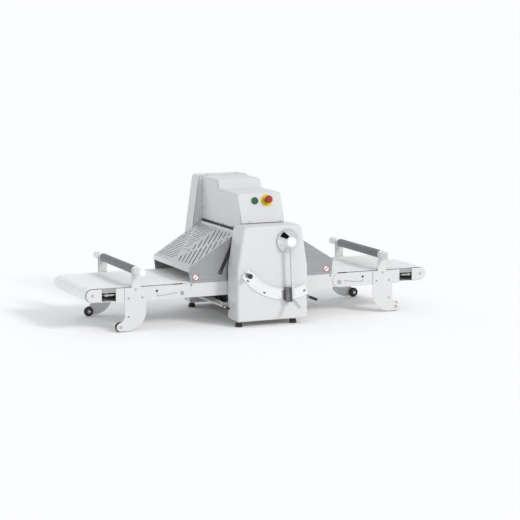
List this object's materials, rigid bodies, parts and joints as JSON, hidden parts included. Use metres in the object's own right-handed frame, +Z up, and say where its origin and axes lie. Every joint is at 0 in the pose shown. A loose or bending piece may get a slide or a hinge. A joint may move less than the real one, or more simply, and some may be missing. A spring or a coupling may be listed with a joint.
{
  "type": "bench-top dough sheeter",
  "caption": "Bench-top reversible dough sheeter: slotted hinged guards over sheeting rollers, thickness lever, hooded drive and folding belt conveyor tables on wheeled legs.",
  "frame": {"origin": "centre of the bounding box in plan, on the bench surface under the feet and wheels", "axes": "+X along the belts towards the right-hand table as seen by the user, +Y from the lever towards the rear casing, +Z up"},
  "size_m": [1.888, 0.8948, 0.7065],
  "materials": {
    "white_paint": "gloss",
    "stainless": "satin",
    "bright_steel": "polished",
    "chrome": "mirror",
    "cast_body": "satin",
    "belt_white": "matte",
    "drive_rubber": "matte",
    "black_plastic": "matte",
    "black_steel": "satin",
    "tube_grey": "satin",
    "white_plastic": "gloss",
    "green_plastic": "gloss",
    "red_plastic": "gloss",
    "yellow_plastic": "satin",
    "wheel_black": "matte"
  },
  "bodies": {
    "machine": {"front_frame_plate": "stainless", "rear_frame_plate": "stainless", "tie_bars": "stainless", "front_casing": "white_paint", "rear_casing": "white_paint", "hood": "white_paint", "casing_screws": "bright_steel", "index_plate": "bright_steel", "arc_end_stop": "chrome", "gear_motor": "cast_body", "transmission_belt": "drive_rubber", "bearings": "bright_steel", "carriage_guides": "stainless", "button_collars": "yellow_plastic", "fixed_tables": "white_paint", "inner_belts": "belt_white", "feet": "black_plastic", "lower_scraper": "bright_steel"},
    "lever": {"lever_shaft": "bright_steel", "lever_hub": "chrome", "lever_arm": "chrome", "lever_handle": "chrome", "index_shoe": "black_steel"},
    "carriage": {"upper_carriage": "cast_body"},
    "upper_roller": {"upper_roller": "bright_steel"},
    "lower_roller": {"lower_roller": "bright_steel", "drive_pulley": "cast_body"},
    "motor_pulley": {"motor_pulley": "cast_body"},
    "left_guard": {"left_guard": "stainless", "left_guard_arm": "black_steel"},
    "right_guard": {"right_guard": "stainless", "right_guard_arm": "black_steel"},
    "reverse_rocker": {"reverse_bars": "stainless", "reverse_grips": "black_plastic"},
    "start_button": {"start_button": "green_plastic"},
    "estop_head": {"estop_head": "red_plastic"},
    "left_table": {"left_table_rails": "white_paint", "left_table_bed": "stainless", "left_outer_belt": "belt_white", "left_belt_fold": "belt_white", "left_leg_set": "white_paint", "left_table_fasteners": "bright_steel"},
    "left_drive_roller": {"left_drive_roller": "bright_steel"},
    "left_end_roller": {"left_end_roller": "bright_steel"},
    "left_pin": {"left_pin_core": "white_plastic"},
    "left_pin_tube": {"left_pin_tube": "tube_grey"},
    "left_front_wheel": {"left_front_wheel": "wheel_black"},
    "left_rear_wheel": {"left_rear_wheel": "wheel_black"},
    "right_table": {"right_table_rails": "white_paint", "right_table_bed": "stainless", "right_outer_belt": "belt_white", "right_belt_fold": "belt_white", "right_leg_set": "white_paint", "right_table_fasteners": "bright_steel"},
    "right_drive_roller": {"right_drive_roller": "bright_steel"},
    "right_end_roller": {"right_end_roller": "bright_steel"},
    "right_pin": {"right_pin_core": "white_plastic"},
    "right_pin_tube": {"right_pin_tube": "tube_grey"},
    "right_front_wheel": {"right_front_wheel": "wheel_black"},
    "right_rear_wheel": {"right_rear_wheel": "wheel_black"}
  },
  "joints": [
    {"name": "gap_lever_swing", "type": "hinge", "parent": "machine", "child": "lever", "pos_m": [0.0765, -0.30958, 0.429], "axis": [0, 1, 0], "range_deg": [-14, 45]},
    {"name": "upper_carriage_slide", "type": "slide", "parent": "machine", "child": "carriage", "axis": [0, 0, 1], "range_m": [-0.0291, 0.0091]},
    {"name": "upper_roller_spin", "type": "hinge", "parent": "carriage", "child": "upper_roller", "pos_m": [0, 0.08042, 0.297], "axis": [0, 1, 0], "continuous": true},
    {"name": "lower_roller_spin", "type": "hinge", "parent": "machine", "child": "lower_roller", "pos_m": [0, 0.08042, 0.187], "axis": [0, 1, 0], "continuous": true},
    {"name": "motor_pulley_spin", "type": "hinge", "parent": "machine", "child": "motor_pulley", "pos_m": [0, 0.08042, 0.085], "axis": [0, 1, 0], "continuous": true},
    {"name": "reverse_rocker_tilt", "type": "hinge", "parent": "machine", "child": "reverse_rocker", "pos_m": [0, -0.15158, 0.1105], "axis": [0, 1, 0], "range_deg": [0, 6.8]},
    {"name": "start_press", "type": "slide", "parent": "machine", "child": "start_button", "axis": [0, 0.9512, -0.3087], "range_m": [0, 0.003], "stiffness_N_per_m": 400},
    {"name": "estop_press", "type": "slide", "parent": "machine", "child": "estop_head", "axis": [0, 0.9512, -0.3087], "range_m": [0, 0.006], "stiffness_N_per_m": 600},
    {"name": "left_table_fold", "type": "hinge", "parent": "machine", "child": "left_table", "pos_m": [-0.436, 0.08042, 0.175], "axis": [0, 1, 0], "range_deg": [0, 70], "deforming": ["left_belt_fold"]},
    {"name": "left_guard_lift", "type": "hinge", "parent": "machine", "child": "left_guard", "pos_m": [-0.137, 0.08042, 0.462], "axis": [0, -1, 0], "range_deg": [-60, 0]},
    {"name": "left_drive_roller_spin", "type": "hinge", "parent": "machine", "child": "left_drive_roller", "pos_m": [-0.085, 0.08042, 0.19], "axis": [0, 1, 0], "continuous": true},
    {"name": "left_end_roller_spin", "type": "hinge", "parent": "left_table", "child": "left_end_roller", "pos_m": [-0.908, 0.08042, 0.19], "axis": [0, 1, 0], "continuous": true},
    {"name": "left_pin_lift", "type": "slide", "parent": "left_table", "child": "left_pin", "axis": [0, 0, 1], "range_m": [0, 0.06]},
    {"name": "left_pin_tube_spin", "type": "hinge", "parent": "left_pin", "child": "left_pin_tube", "pos_m": [-0.681, 0.08042, 0.304], "axis": [0, 1, 0], "continuous": true},
    {"name": "left_front_wheel_spin", "type": "hinge", "parent": "left_table", "child": "left_front_wheel", "pos_m": [-0.7636, -0.16158, 0.025], "axis": [0, 1, 0], "continuous": true},
    {"name": "left_rear_wheel_spin", "type": "hinge", "parent": "left_table", "child": "left_rear_wheel", "pos_m": [-0.7636, 0.32242, 0.025], "axis": [0, 1, 0], "continuous": true},
    {"name": "right_table_fold", "type": "hinge", "parent": "machine", "child": "right_table", "pos_m": [0.436, 0.08042, 0.175], "axis": [0, -1, 0], "range_deg": [0, 70], "deforming": ["right_belt_fold"]},
    {"name": "right_guard_lift", "type": "hinge", "parent": "machine", "child": "right_guard", "pos_m": [0.137, 0.08042, 0.462], "axis": [0, 1, 0], "range_deg": [-60, 0]},
    {"name": "right_drive_roller_spin", "type": "hinge", "parent": "machine", "child": "right_drive_roller", "pos_m": [0.085, 0.08042, 0.19], "axis": [0, 1, 0], "continuous": true},
    {"name": "right_end_roller_spin", "type": "hinge", "parent": "right_table", "child": "right_end_roller", "pos_m": [0.908, 0.08042, 0.19], "axis": [0, 1, 0], "continuous": true},
    {"name": "right_pin_lift", "type": "slide", "parent": "right_table", "child": "right_pin", "axis": [0, 0, 1], "range_m": [0, 0.06]},
    {"name": "right_pin_tube_spin", "type": "hinge", "parent": "right_pin", "child": "right_pin_tube", "pos_m": [0.681, 0.08042, 0.304], "axis": [0, 1, 0], "continuous": true},
    {"name": "right_front_wheel_spin", "type": "hinge", "parent": "right_table", "child": "right_front_wheel", "pos_m": [0.7636, -0.16158, 0.025], "axis": [0, 1, 0], "continuous": true},
    {"name": "right_rear_wheel_spin", "type": "hinge", "parent": "right_table", "child": "right_rear_wheel", "pos_m": [0.7636, 0.32242, 0.025], "axis": [0, 1, 0], "continuous": true}
  ],
  "couplings": [
    {"joint": "upper_carriage_slide", "follows": "gap_lever_swing", "m_per_rad": -0.037},
    {"joint": "upper_roller_spin", "follows": "lower_roller_spin", "ratio": -1},
    {"joint": "motor_pulley_spin", "follows": "lower_roller_spin", "ratio": 1.6},
    {"joint": "left_drive_roller_spin", "follows": "lower_roller_spin", "ratio": 1.1111},
    {"joint": "left_end_roller_spin", "follows": "lower_roller_spin", "ratio": 1.1111},
    {"joint": "right_drive_roller_spin", "follows": "lower_roller_spin", "ratio": 1.1111},
    {"joint": "right_end_roller_spin", "follows": "lower_roller_spin", "ratio": 1.1111}
  ]
}
